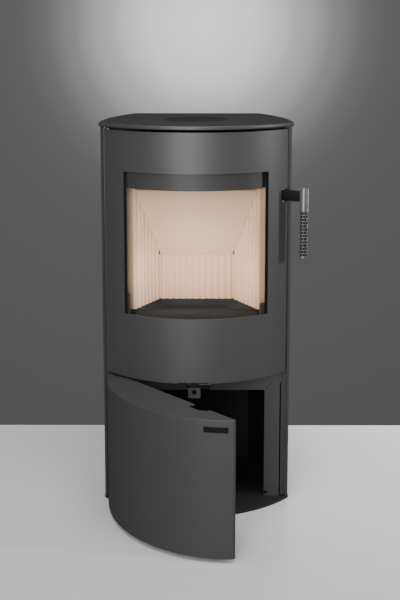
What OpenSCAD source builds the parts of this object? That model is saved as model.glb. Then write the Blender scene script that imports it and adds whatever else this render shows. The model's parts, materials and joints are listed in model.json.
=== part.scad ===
// Free-standing wood burning stove with a curved front: a fire door with a
// curved window above, and a curved door to a store below.
// Millimetres. X runs across, -Y is the front, Z is up. The origin is on the
// floor, in the plane of symmetry, level with the front corners of the body.

/* [Overall size] */
// Width over the two side panels
body_w = 486; // [480:1:492]
// Height from the floor to the upper face of the top plate
total_h = 1004; // [996:1:1012]
// Distance from the front corners back to the flat rear face
back_y = 308; // [305:1:312]
// Radius of the curved front, and of both door skins
front_r = 318; // [316:1:320]
// Distance of the curved front's centre behind the front corners
front_cy = 227; // [226:1:228]
// Radius of the slightly bowed side panels
side_r = 595; // [580:5:620]

/* [Plates and sheet] */
// Thickness of the base plate
base_t = 6; // [5:1:8]
// Thickness of the top plate
top_t = 10; // [8:1:12]
// How far the top plate stands proud of the casing
top_overhang = 4.5; // [3:0.5:6]
// Thickness of the casing and door sheet
sheet_t = 3; // [2:0.5:3]
// Thickness of the firebox shell plate
shell_t = 4; // [3:1:4]

/* [Doors] */
// Half the width of the two doors
door_half_w = 232; // [230:0.5:233]
// Height of the fire door's lower edge
fire_door_z0 = 354.5; // [354:0.5:356]
// Height of the fire door's upper edge
fire_door_z1 = 988; // [986:1:988]
// Height of the lower door's upper edge
low_door_z1 = 349; // [347:0.5:349]
// Angle at which the lower door stands open
low_door_open = 46.5; // [0:0.5:90]
// Half the width of the window
window_half_w = 181; // [170:1:182]
// Height of the window's lower edge
window_z0 = 521; // [518:1:530]
// Height of the window's upper edge
window_z1 = 886; // [870:1:888]

/* [Firebox] */
// Thickness of the lining slabs
lining_t = 30; // [26:1:30]
// Height of the hearth tray's rim, on which the lining stands
hearth_z = 514; // [512:1:516]
// Half the width of the firebox at the back
fire_back_w = 98; // [90:1:100]
// Half the width of the firebox at the front
fire_front_w = 159; // [150:1:160]

/* [Connections] */
// Outer radius of the flue spigot
flue_r = 75; // [65:5:75]
// Height of the flue spigot's axis
flue_z = 870; // [860:1:875]
// Outer radius of the external air spigot
air_r = 50; // [40:5:50]
// Radius of the cover over the top outlet
cover_r = 85; // [82:1:88]

/* [Handle] */
// Radius of the handle rod
rod_r = 11; // [9:0.5:12]
// Height of the handle rod's lower end
rod_z0 = 664; // [650:1:680]
// Height of the handle rod's upper end
rod_z1 = 841; // [835:1:850]

/* [Hidden] */

half_w = body_w / 2;
side_cy = 25;                       // where the side panels are widest
panel_z1 = total_h - top_t;         // underside of the top plate
frame_y = 22;                       // front face of the firebox front frame
frame_half_w = 219;
store_frame_y = 18;                 // front face of the store's front frame
store_z1 = 300;                     // height of the store's opening
store_half_w = 179;
skin_in_r = front_r - sheet_t;      // inner radius of the door skins
hinge = [-222.5, 11];               // axis of both doors' hinges
pin_r = 4;
running = 0.05;                     // radial clearance of a pin in its hole
latch = [221, 12.5];                // axis of the latch shaft
rod = [271, -20];                   // axis of the handle rod
arm_z = [806, 833];
glass_out_r = front_r - 5;
glass_t = 4;
retainer_t = 3;
retainer_out_r = glass_out_r - glass_t;
deflector_out_r = retainer_out_r - retainer_t - 1.5;
door_plate_y = [15, 18];            // the fire door's flat inner plate
door_plate_half_w = 214;
hearth_floor_z = hearth_z - 18;
fire_y0 = 28;                       // front ends of the side linings
fire_y1 = 137;                      // inner face of the rear lining
shell_z = [396, 956];
outlet_y = 115;                     // centre of the top outlet
air_z = 425;                        // height of the external air spigot
flue_collar_r = flue_r + 2;         // collar inside the body, the flue pipe's stop
air_collar_r = air_r + 1.5;         // the same for the air pipe
screw_r = 2;
screw_z = [30 : 155 : 960];         // heights of the rear panel's screws
baffle_low_z = 636;                 // lower edge of the sloping baffle
baffle_rise = 1.79;                 // height gained for each millimetre forward
baffle_t = 25;
lever_w = 32;
lever_x = -5.5;                     // middle of the lever at its left stop
lever_travel = 25;
glass_half_w = 194;                 // half the width of the pane
glass_z = [506, 902];               // heights of the pane's edges
grip_z1 = 786;                      // top of the knurled grip
core_r = 7;                         // rod's core inside the grip
hook_z = [560, 760];                // heights of the two latch hooks
low_door_z0 = 10;                   // lower edge of the lower door
low_half_w = door_half_w - 1;       // half the width of the lower door
flange_back_y = 16;                 // back edge of the lower door's flanges
low_sheet = 2.5;                    // sheet of the lower door
lining_top_z = window_z1 + 24;      // top of the side linings
lining_notch = [66, 834];           // corner cut from them: depth and height
corner_fill = 8;                    // rear lining's reach behind the side linings
steel = [0.27, 0.27, 0.28];
dark_steel = [0.16, 0.16, 0.17];
lining = [0.85, 0.75, 0.67];
iron = [0.2, 0.2, 0.2];
zinc = [0.6, 0.6, 0.62];
$fn = 96;

// ---- outlines and helpers ----

module side_circle(side, grow)
    translate([side * (half_w - side_r), side_cy]) circle(r = side_r + grow, $fn = 360);

// Outline of the whole body: curved front, bowed sides, flat back
module plan(grow = 0)
    intersection() {
        translate([0, front_cy]) circle(r = front_r + grow, $fn = 360);
        side_circle(1, grow);
        side_circle(-1, grow);
        translate([-half_w - 20, front_cy - front_r - 20])
            square([body_w + 40, back_y + grow - front_cy + front_r + 20]);
    }

module plan_ring(outer, t)
    difference() {
        plan(outer);
        plan(outer - t);
    }

// A strip of the curved front between two x values, r_out its outer radius
module front_arc(r_out, t, x0, x1)
    intersection() {
        translate([0, front_cy]) difference() {
            circle(r = r_out, $fn = 360);
            circle(r = r_out - t, $fn = 360);
        }
        translate([x0, -120]) square([x1 - x0, 160]);
    }

module slab(z0, z1)
    translate([0, 0, z0]) linear_extrude(z1 - z0) children();

module block(x, y, z)
    translate([x[0], y[0], z[0]]) cube([x[1] - x[0], y[1] - y[0], z[1] - z[0]]);

// A cylinder whose axis runs back along +Y
module bar_y(r, y0, y1)
    translate([0, y0, 0]) rotate([-90, 0, 0]) cylinder(r = r, h = y1 - y0);

module both_sides() {
    children();
    mirror([1, 0, 0]) children();
}

// Turns the lower door about its hinge from closed to where it stands
module low_door_place()
    translate([hinge.x, hinge.y, 0]) rotate([0, 0, -low_door_open])
        translate([-hinge.x, -hinge.y, 0]) children();

// ---- casing ----

module base_plate() {
    pin_hole_z = 2;
    color(dark_steel) difference() {
        slab(0, base_t) plan(1.5);
        translate([hinge.x, hinge.y, pin_hole_z]) cylinder(r = pin_r + running, h = base_t);
    }
}

// One bowed side with a strip round the front corner, a recessed flange
// behind the door edge, and a return on the back
module side_panel() {
    strip_x = 236.5;
    flange_x = 223;
    flange_y = 28;
    return_x = 150;
    color(steel) difference() {
        slab(base_t, panel_z1) {
            difference() {
                plan_ring(0, sheet_t);
                translate([-half_w - 20, -120]) square([half_w + 20, 480]);
                translate([0, -120]) square([strip_x, 180]);
                translate([0, 250]) square([return_x, 80]);
            }
            translate([flange_x, flange_y]) square([half_w - sheet_t - flange_x + 1, 2]);
        }
        rear_screws(back_y - 20, back_y + 20);
    }
}

// Shanks of the screws that hold the rear panel to the side panels
module rear_screws(y0, y1)
    for (s = [-1, 1], z = screw_z) translate([s * 156, 0, z]) bar_y(screw_r, y0, y1);

module left_side_panel() mirror([1, 0, 0]) side_panel();

module right_side_panel() side_panel();

module vent_row(z, n = 9, pitch = 22, slot = [8, 70])
    for (i = [0 : n - 1])
        translate([(i - (n - 1) / 2) * pitch - slot.x / 2, 290, z])
            cube([slot.x, 30, slot.y]);

module rear_panel() {
    panel_y = back_y - sheet_t;
    color(steel) difference() {
        block([-162, 162], [panel_y - 2, panel_y], [base_t + 2, panel_z1 - 2]);
        translate([0, 0, flue_z]) bar_y(flue_r + 4, 290, 320);
        translate([0, 0, air_z]) bar_y(air_r + 3, 290, 320);
        vent_row(540);
        vent_row(640);
        vent_row(40);
        rear_screws(290, 320);
    }
}

// A disc with a rounded rim
module round_rim_disc(r, h, e)
    rotate_extrude($fn = 360) {
        square([r - e, h]);
        translate([0, e]) square([r, h - 2 * e]);
        translate([r - e, e]) circle(r = e, $fn = 32);
        translate([r - e, h - e]) circle(r = e, $fn = 32);
    }

module top_plate() {
    rim = 2.5;
    seat_t = 6;
    grow = top_overhang;
    color(dark_steel) translate([0, 0, panel_z1]) difference() {
        intersection() {
            translate([0, front_cy, 0]) round_rim_disc(front_r + grow, top_t, rim);
            translate([half_w - side_r, side_cy, 0]) round_rim_disc(side_r + grow, top_t, rim);
            translate([side_r - half_w, side_cy, 0]) round_rim_disc(side_r + grow, top_t, rim);
            block([-half_w - 20, half_w + 20], [front_cy - front_r - 20, back_y], [0, top_t]);
        }
        translate([0, outlet_y, -1]) cylinder(r = cover_r - 8, h = top_t + 2);
        translate([0, outlet_y, top_t - seat_t]) cylinder(r = cover_r + 0.8, h = top_t);
    }
}

module top_outlet_cover() {
    lid_t = 6;
    color([0.2, 0.19, 0.18]) translate([0, outlet_y, total_h - lid_t]) {
        cylinder(r = cover_r, h = lid_t);
        translate([0, 0, -4]) cylinder(r = cover_r - 13, h = 4.5);
    }
}

module top_outlet_ring()
    color(iron) translate([0, outlet_y, shell_z[1]]) difference() {
        cylinder(r = cover_r - 8.5, h = panel_z1 - shell_z[1]);
        translate([0, 0, -1]) cylinder(r = cover_r - 12, h = 60);
    }

module top_heat_shield()
    color(zinc) slab(972, 973.5) difference() {
        plan(-9);
        translate([-half_w, -120]) square([body_w, 120 + 30]);
        translate([0, outlet_y]) circle(r = cover_r - 7);
    }

module rear_heat_shield()
    color(zinc) difference() {
        block([-126, 126], [278, 279.5], [312, 966]);
        translate([0, 0, flue_z]) bar_y(flue_r + 3, 270, 290);
        translate([0, 0, air_z]) bar_y(air_r + 2, 270, 290);
    }

module side_heat_shield()
    color(zinc) slab(312, 966) intersection() {
        plan_ring(-20, 1.5);
        translate([100, 36]) square([200, 214]);
    }

module left_heat_shield() mirror([1, 0, 0]) side_heat_shield();

module right_heat_shield() side_heat_shield();

// ---- firebox ----

// Half outline of the firebox in plan, moved out from the lining's face by d
function fire_outline(d, y0) =
    let (run = fire_y1 - fire_y0, fall = fire_front_w - fire_back_w,
         len = sqrt(run * run + fall * fall),
         push = d * len / run,
         x_at = function (y) fire_front_w + push - (y - fire_y0) * fall / run)
    [[x_at(y0), y0], [x_at(fire_y1 + d / 2), fire_y1 + d / 2],
     [x_at(fire_y1 + d / 2), fire_y1 + d]];

function mirrored(half) = concat(half, [for (i = [len(half) - 1 : -1 : 0]) [-half[i].x, half[i].y]]);

module fire_plan(d, y0) polygon(mirrored(fire_outline(d, y0)));

module firebox_shell() {
    gap = 2;
    inner = lining_t + gap;
    color(iron) difference() {
        slab(shell_z[0], shell_z[1]) fire_plan(inner + shell_t, frame_y + 4);
        slab(shell_z[0] + shell_t, shell_z[1] - shell_t) fire_plan(inner, frame_y + 3);
        translate([0, 0, flue_z]) bar_y(flue_collar_r, 140, 220);
        translate([0, outlet_y, 900]) cylinder(r = cover_r - 12, h = 100);
        air_port();
    }
}

// Passage for combustion air between the air box and the firebox floor
module air_port() block([-40, 40], [151, 167], [shell_z[0] - 5, shell_z[0] + 5]);

module firebox_front_frame()
    color(dark_steel) difference() {
        block([-frame_half_w, frame_half_w], [frame_y, frame_y + 4], [352, panel_z1 - 0.5]);
        block([-182, 182], [0, 40], [hearth_z - 8, window_z1 - 2]);
        block([-106, 106], [0, 40], [403, 474]);
    }

module flue_flange()
    color(iron) translate([0, 0, flue_z]) difference() {
        bar_y(flue_r + 18, 173.5, 177.5);
        bar_y(flue_collar_r, 170, 180);
        for (a = [45 : 90 : 315])
            rotate([0, a, 0]) translate([flue_r + 9, 0, 0]) bar_y(3, 170, 180);
    }

module flue_spigot()
    color(iron) translate([0, 0, flue_z]) difference() {
        union() {
            bar_y(flue_collar_r, 166, back_y);
            bar_y(flue_r, back_y - 1, back_y + 45);
        }
        bar_y(flue_r - 2, 160, back_y + 50);
    }

// A slab with upright reeds on its inner face; the face lies along +X at y = 0
module reeded_slab(w, z0, z1, n) {
    reed_r = 7.5;
    reed_out = 5;
    pitch = w / n;
    intersection() {
        union() {
            block([0, w], [reed_out, lining_t], [z0, z1]);
            for (i = [0 : n - 1])
                translate([(i + 0.5) * pitch, reed_r, z0]) cylinder(r = reed_r, h = z1 - z0);
        }
        block([0, w], [0, lining_t], [z0, z1]);
    }
}

module side_lining(z0, z1) {
    run = fire_y1 - fire_y0;
    fall = fire_front_w - fire_back_w;
    len = sqrt(run * run + fall * fall);
    color(lining)
        translate([fire_back_w, fire_y1, 0]) rotate([0, 0, -atan2(run, fall)])
            reeded_slab(len, z0, z1, 7);
}

// The front upper corner is cut away in front of the baffle's upper edge
module right_lining()
    difference() {
        side_lining(hearth_z, lining_top_z);
        block([100, 260], [0, lining_notch[0]], [lining_notch[1], lining_top_z + 1]);
    }

module left_lining() mirror([1, 0, 0]) right_lining();

module rear_lining()
    color(lining) translate([-fire_back_w, fire_y1, 0]) {
        reeded_slab(2 * fire_back_w, hearth_z, baffle_low_z, 11);
        block([-corner_fill, 2 * fire_back_w + corner_fill], [5, lining_t], [hearth_z, baffle_low_z]);
    }

// The sloping slab rests on the rear lining and leans forward to the front
module lower_baffle() {
    top_z = baffle_low_z + (fire_y1 - fire_y0 - 2) * baffle_rise;
    lean = atan(baffle_rise);
    back_shift = [baffle_t * sin(lean), baffle_t * cos(lean)];
    profile = [[fire_y1, baffle_low_z], [fire_y0 + 2, top_z],
        [fire_y0 + 2 + back_shift.x, top_z + back_shift.y],
        [fire_y1 + back_shift.x, baffle_low_z + back_shift.y],
        [fire_y1 + back_shift.x + 6, baffle_low_z]];
    color([0.8, 0.71, 0.61]) intersection() {
        rotate([90, 0, 90]) translate([0, 0, -200]) linear_extrude(400) polygon(profile);
        slab(baffle_low_z - 5, 900) union() {
            fire_plan(-1, fire_y0 + 1);
            translate([-fire_back_w, fire_y1 - 12]) square([2 * fire_back_w, 60]);
        }
    }
}

module upper_baffle()
    color(lining) slab(window_z1 + 24.2, window_z1 + 39) difference() {
        fire_plan(lining_t - 1, fire_y0 + 30);
        translate([-80, 150]) square([160, 40]);
    }

module hearth_tray() {
    seat_z = hearth_floor_z - 8;
    color(iron) difference() {
        slab(hearth_z - 30, hearth_z) fire_plan(lining_t - 1, fire_y0);
        hull() {
            slab(hearth_z, hearth_z + 1) fire_plan(-2, fire_y0 + 5);
            slab(hearth_floor_z, hearth_floor_z + 0.5) fire_plan(-20, fire_y0 + 12);
        }
        block([-68, 68], [56, 100], [hearth_z - 40, hearth_z]);
        block([-75, 75], [49, 107], [seat_z, hearth_z]);
    }
}

// Shelf that carries the hearth forward into the hollow of the closed door
module hearth_lip()
    color(dark_steel) slab(hearth_z - 8, hearth_z - 2) intersection() {
        translate([0, front_cy]) circle(r = 294, $fn = 360);
        translate([-156, -100]) square([312, 100 + frame_y + 5.5]);
    }

module grate() {
    bar = 6;
    slot = 5;
    color(iron) difference() {
        block([-74.5, 74.5], [49.5, 106.5], [hearth_floor_z - 8, hearth_floor_z]);
        for (i = [-5 : 5])
            translate([i * (bar + slot) - slot / 2 - 1, 57, 0]) cube([slot + 2, 42, 600]);
    }
}

module ash_pan() {
    w = 100;
    y = [31, 148];
    z = [shell_z[0] + shell_t + 4, 466];
    wall = 2;
    color(zinc) difference() {
        union() {
            block([-w, w], y, z);
            block([-45, 45], [frame_y - 1, y[0]], [z[1] - 14, z[1] - 11]);
        }
        block([-w + wall, w - wall], [y[0] + wall, y[1] - wall], [z[0] + wall, z[1] + 1]);
    }
}

// ---- combustion air ----

module air_box() {
    wall = 3;
    z0 = 312;
    color(zinc) difference() {
        union() {
            block([-90, 90], [36, 250], [z0, shell_z[0]]);
            block([-80, 80], [182, 250], [z0, 486]);
        }
        block([-90 + wall, 90 - wall], [36 + wall, 250 - wall], [z0 + wall, shell_z[0] - wall]);
        block([-80 + wall, 80 - wall], [182 + wall, 250 - wall], [z0 + wall, 486 - wall]);
        translate([0, 0, air_z]) bar_y(air_collar_r, 240, 260);
        air_port();
        for (s = [-1, 1]) translate([s * 45, 75, z0 - 1]) cylinder(r = 12, h = 10);
    }
}

module air_inlet_spigot()
    color(zinc) translate([0, 0, air_z]) difference() {
        union() {
            bar_y(air_collar_r, 247, back_y);
            bar_y(air_r, back_y - 1, back_y + 40);
        }
        bar_y(air_r - 2, 240, back_y + 50);
    }

// Two stepped rails that carry the slide against the air box
module slide_guides()
    color(zinc) difference() {
        for (y = [42, 100]) {
            block([-88, 88], [y, y + 8], [304, 307]);
            block([-88, 88], y == 42 ? [42, 45] : [105, 108], [307, 312]);
        }
        block([lever_x - 12, lever_x + lever_travel + 12], [40, 50], [307, 313]);
    }

module air_slide()
    color(zinc) difference() {
        block([-70, 60], [46, 104], [308, 311]);
        for (s = [-1, 1])
            translate([s * 45 - 20, 75, 300]) cylinder(r = 12, h = 20);
    }

// Strip from the slide out under the rail, bent down into a finger pull
module air_lever() {
    x = [lever_x - lever_w / 2, lever_x + lever_w / 2];
    color(iron) difference() {
        union() {
            block([lever_x - 10, lever_x + 10], [3, 46], [308, 311]);
            block(x, [0, 3], [286, 315]);
            block(x, [-7, 3], [284, 287]);
            block(x, [-9, -7], [284, 292]);
        }
        translate([lever_x, -2, 299]) rotate([-90, 0, 0]) cylinder(r = 6, h = 3.5);
    }
}

// ---- store under the firebox ----

module store_front_frame() {
    notch = [182, 188];
    color(steel) difference() {
        union() {
            block([-frame_half_w, frame_half_w], [store_frame_y, store_frame_y + 3], [base_t, 349.8]);
            both_sides() block([frame_half_w - 3, frame_half_w], [store_frame_y, 60], [base_t, 349.8]);
        }
        block([-store_half_w, store_half_w], [0, 40], [0, store_z1]);
        block([lever_x - lever_w / 2 - 2, lever_x + lever_w / 2 + lever_travel + 1], [0, 40], [290, 318]);
        both_sides() block([store_half_w - 1, notch[1]], [0, 40], [base_t + 6, base_t + 13]);
        both_sides() for (p = [[185, 306], [191, 311], [197, 316]])
            translate([p.x, 0, p.y]) bar_y(1.5, 10, 30);
    }
}

module store_wall(y0, y1, x0, x1)
    color(dark_steel) slab(base_t, 300) intersection() {
        plan_ring(-36, 2);
        translate([x0, y0]) square([x1 - x0, y1 - y0]);
    }

module right_store_wall() store_wall(22, 258, 100, 240);

module left_store_wall() store_wall(22, 258, -240, -100);

module rear_store_wall() store_wall(258.2, 300, -240, 240);

module store_ceiling()
    color(dark_steel) slab(300.2, 302.2) difference() {
        plan(-36);
        translate([-half_w, -120]) square([body_w, 120 + 24]);
    }

// ---- hinges, keepers, fasteners on the body ----

module hinge_tab(z0, z1)
    difference() {
        union() {
            block([hinge.x - 3, hinge.x + 16], [hinge.y, frame_y], [z0, z1]);
            translate([hinge.x, hinge.y, z0]) cylinder(r = 6.5, h = z1 - z0);
        }
        translate([hinge.x, hinge.y, z0 - 1]) cylinder(r = pin_r + running, h = z1 - z0 + 2);
    }

module hinge_brackets()
    color(iron) {
        hinge_tab(350.2, 353.4);
        hinge_tab(989, 993.4);
    }

module latch_keepers()
    color(zinc) for (z = hook_z)
        block([207, frame_half_w], [frame_y - 2.5, frame_y], [z - 14, z + 14]);

module magnet_catch()
    color(iron) {
        block([96, 126], [-3, store_frame_y], [330, 349]);
        for (z = [334, 342]) block([99, 123], [-4, -3], [z, z + 3]);
    }

module rear_panel_screws()
    color(zinc) {
        rear_screws(back_y - 9, back_y + 1);
        for (s = [-1, 1], z = screw_z) translate([s * 156, 0, z]) bar_y(4.5, back_y, back_y + 2.5);
    }

module frame_bolts()
    color(zinc) for (s = [-1, 1], z = [400, 640, 860, 970])
        translate([s * 213, 0, z == 400 && s > 0 ? 405 : z]) bar_y(4, frame_y - 2.5, frame_y);

// ---- fire door ----

module window_cut(grow = 0) {
    r = 3;
    x = window_half_w + grow - r;
    z = [window_z0 - grow + r, window_z1 + grow - r];
    block([-x, x], [-120, 60], [z[0] - r, z[1] + r]);
    block([-x - r, x + r], [-120, 60], z);
    for (sx = [-x, x], sz = z) translate([sx, 0, sz]) bar_y(r, -120, 60);
}

module fire_door_skin()
    color(steel) difference() {
        slab(fire_door_z0, fire_door_z1) front_arc(front_r, sheet_t, -door_half_w, door_half_w);
        window_cut();
        block([216, 240], [-30, 40], [arm_z[0] - 3, arm_z[1] + 3]);
        block([-46, 36], [-120, -60], [0, fire_door_z0 + 3]);
    }

// Flat plate facing the firebox, joined to the skin by webs all round
module fire_door_frame() {
    z = [fire_door_z0 + 4, fire_door_z1 - 4];
    w = door_plate_half_w;
    web = 3;
    color(dark_steel) difference() {
        union() {
            block([-w, w], door_plate_y, z);
            for (z0 = [z[0], z[1] - web])
                slab(z0, z0 + web) intersection() {
                    translate([0, front_cy]) circle(r = skin_in_r, $fn = 360);
                    translate([-w, -120]) square([2 * w, 120 + door_plate_y[1]]);
                }
            both_sides() slab(z[0], z[1]) intersection() {
                translate([0, front_cy]) circle(r = skin_in_r, $fn = 360);
                translate([w - web, -30]) square([web, 30 + door_plate_y[1]]);
            }
            for (z0 = [z[0] + 3, z[1] - 6]) slab(z0, z0 + 3) intersection() {
                hinge_leaf();
                translate([0, front_cy]) circle(r = skin_in_r, $fn = 360);
            }
        }
        block([-184, 184], [0, 40], [window_z0 - 17, window_z1 + 6]);
        for (z0 = [z[0] - 1, z[1] - 8])
            translate([hinge.x, hinge.y, z0]) cylinder(r = pin_r, h = 9);
    }
}

// Leaf round a door's hinge pin; its end is round so that it turns clear
module hinge_leaf() {
    translate([hinge.x, hinge.y]) circle(r = 6.5);
    translate([hinge.x, hinge.y - 6.5]) square([16, 13]);
}

module fire_door_hinge_pins()
    color(zinc) for (z = [[351.9, 366], [976, 992.5]])
        translate([hinge.x, hinge.y, z[0]]) cylinder(r = pin_r, h = z[1] - z[0]);

module curved_frame(r_out, t, outer, inner, z_outer, z_inner)
    difference() {
        slab(z_outer[0], z_outer[1]) front_arc(r_out, t, -outer, outer);
        block([-inner, inner], [-120, 60], z_inner);
    }

module door_glass()
    color([0.6, 0.55, 0.5, 0.35])
        slab(glass_z[0], glass_z[1]) front_arc(glass_out_r, glass_t, -glass_half_w, glass_half_w);

module glass_gasket()
    color([0.1, 0.1, 0.1]) curved_frame(skin_in_r, 2, glass_half_w - 1, window_half_w + 3,
        [glass_z[0] + 2, glass_z[1] - 2], [window_z0 - 3, window_z1 + 3]);

module glass_retainer()
    color(dark_steel) curved_frame(retainer_out_r, retainer_t, glass_half_w + 1, 174,
        [glass_z[0] - 3, glass_z[1] + 3], [window_z0 - 5, window_z1 + 2]);

// Clips that clamp the retainer at the four corners of the glass
module glass_clips()
    color([0.2, 0.15, 0.13]) {
        r_out = retainer_out_r - retainer_t;
        slab(window_z0 - 6, window_z0 + 26) front_arc(r_out, 6, 161, 176);
        slab(window_z0 - 6, window_z0 + 50) front_arc(r_out, 6, -178, -168);
        slab(window_z1 + 4, window_z1 + 17) front_arc(r_out, 6, 170, 185);
        slab(window_z1 + 4, window_z1 + 17) front_arc(r_out, 6, -185, -178);
    }

// Curved plate that turns cold air down over the inside of the glass
module air_deflector()
    color(steel) slab(842, window_z1 + 16) front_arc(deflector_out_r, 2.5, -176, 167);

module door_gasket() {
    w = 207;
    z = [366, 976];
    color([0.35, 0.34, 0.32]) difference() {
        block([-w, w], [door_plate_y[1], frame_y - 0.3], z);
        block([-w + 10, w - 10], [0, 40], [z[0] + 10, z[1] - 10]);
    }
}

// ---- latch and handle ----

module latch_bushes()
    color(zinc) for (z = [hook_z[0] - 60, hook_z[1] + 110])
        difference() {
            union() {
                translate([latch.x, latch.y, z]) cylinder(r = 6.5, h = 16);
                block([door_plate_half_w, latch.x], [latch.y - 5, latch.y + 5], [z, z + 16]);
            }
            translate([latch.x, latch.y, z - 1]) cylinder(r = pin_r + running, h = 18);
        }

module latch_shaft()
    color(zinc) translate([latch.x, latch.y, 480]) cylinder(r = pin_r, h = 420);

// Each hook is a hub on the shaft with a finger that points at its keeper
module latch_hooks()
    color(zinc) for (z = hook_z)
        translate([0, 0, z - 3]) linear_extrude(6) difference() {
            union() {
                translate(latch) circle(r = 6.2);
                translate([latch.x - 1, latch.y]) square([5, 12.5]);
            }
            translate(latch) circle(r = pin_r);
        }

module handle_arm() {
    reach = norm(rod - latch);
    lean = atan2(rod.y - latch.y, rod.x - latch.x);
    color(dark_steel) slab(arm_z[0], arm_z[1]) difference() {
        union() {
            translate(latch) circle(r = 6.5);
            translate(latch) rotate(lean) translate([0, -3]) square([reach - 5, 6]);
        }
        translate(latch) circle(r = pin_r);
        translate(rod) circle(r = rod_r);
    }
}

module handle_rod()
    color(dark_steel) translate([rod.x, rod.y, 0]) {
        translate([0, 0, grip_z1]) cylinder(r = rod_r, h = rod_z1 - grip_z1 - 1);
        translate([0, 0, rod_z1 - 1]) cylinder(r1 = rod_r, r2 = rod_r - 1, h = 1);
        translate([0, 0, rod_z0]) cylinder(r = core_r, h = grip_z1 - rod_z0);
    }

module handle_grip()
    color(iron) translate([rod.x, rod.y, rod_z0]) difference() {
        cylinder(r = rod_r, h = grip_z1 - rod_z0);
        translate([0, 0, -1]) cylinder(r = core_r, h = 200);
    }

// ---- lower door, drawn closed and then turned open ----

module lower_door_skin()
    color(steel) low_door_place()
        slab(low_door_z0, low_door_z1) {
            front_arc(front_r, low_sheet, -low_half_w, low_half_w);
            intersection() {
                translate([0, front_cy]) circle(r = front_r - 1, $fn = 360);
                translate([low_half_w - low_sheet, -10]) square([low_sheet, 10 + flange_back_y]);
            }
        }

// Horizontal flange inside the skin, straight at the back, round at the hinge
module low_flange()
    difference() {
        intersection() {
            translate([0, front_cy]) circle(r = front_r - low_sheet, $fn = 360);
            union() {
                translate([hinge.x, -120])
                    square([low_half_w - low_sheet - hinge.x, 120 + flange_back_y]);
                translate(hinge) circle(r = 6.5);
            }
        }
        translate(hinge) circle(r = pin_r);
    }

module lower_door_top_flange()
    color(steel) low_door_place() {
        slab(low_door_z1 - low_sheet, low_door_z1) difference() {
            low_flange();
            polygon([[93, 40], [93, 6], [89, 6], [89, -4], [128, -4], [145, 8], [145, 40]]);
        }
        slab(low_door_z1 - 22, low_door_z1 - low_sheet)
            translate([92, -9]) square([38, 3]);
    }

module lower_door_bottom_flange()
    color(steel) low_door_place()
        slab(low_door_z0, low_door_z0 + low_sheet) low_flange();

module lower_door_stiffener() {
    x = [-30, 30];
    color(dark_steel) low_door_place()
        slab(low_door_z0 + 6, low_door_z1 - 6) {
            front_arc(front_r - low_sheet, 2, x[0] - 14, x[0]);
            front_arc(front_r - low_sheet, 2, x[1], x[1] + 14);
            front_arc(front_r - low_sheet - 14, 2, x[0], x[1]);
            for (e = [x[0], x[1] - 2]) front_arc(front_r - low_sheet, 16, e, e + 2);
        }
}

module lower_door_hinge_pins()
    color(zinc) low_door_place() for (z = [[2.2, 22], [338, 351.6]])
        translate([hinge.x, hinge.y, z[0]]) cylinder(r = pin_r, h = z[1] - z[0]);

// Blank plate near the free edge, bent to the skin
module badge_plate() {
    z = [low_door_z1 - 29.5, low_door_z1 - 16];
    edge_angle = asin(low_half_w / front_r);
    from_edge = 2.2;
    span = 10.3;
    color(dark_steel) low_door_place() translate([0, front_cy, z[0]])
        rotate([0, 0, -90 + edge_angle - from_edge - span]) rotate_extrude(angle = span, $fn = 360)
            translate([front_r, 0]) square([1.2, z[1] - z[0]]);
}

base_plate();
left_side_panel();
right_side_panel();
rear_panel();
top_plate();
top_outlet_cover();
top_outlet_ring();
top_heat_shield();
rear_heat_shield();
left_heat_shield();
right_heat_shield();
firebox_shell();
firebox_front_frame();
flue_flange();
flue_spigot();
air_box();
air_inlet_spigot();
slide_guides();
air_slide();
air_lever();
left_lining();
right_lining();
rear_lining();
lower_baffle();
upper_baffle();
hearth_tray();
hearth_lip();
grate();
ash_pan();
store_front_frame();
left_store_wall();
right_store_wall();
rear_store_wall();
store_ceiling();
hinge_brackets();
latch_keepers();
magnet_catch();
rear_panel_screws();
frame_bolts();
fire_door_skin();
fire_door_frame();
fire_door_hinge_pins();
door_glass();
glass_gasket();
glass_retainer();
glass_clips();
air_deflector();
door_gasket();
latch_bushes();
latch_shaft();
latch_hooks();
handle_arm();
handle_rod();
handle_grip();
lower_door_skin();
lower_door_top_flange();
lower_door_bottom_flange();
lower_door_stiffener();
lower_door_hinge_pins();
badge_plate();
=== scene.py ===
# %% [markdown]
# # A round fronted wood burning stove
# The stove is a tall steel body with a curved fire door, a lined firebox behind
# its glass, and a second curved door over a log store. The measured model is
# loaded first and is never moved. Everything after that gives it surfaces,
# finer pieces, a floor, lights and a camera.

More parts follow.
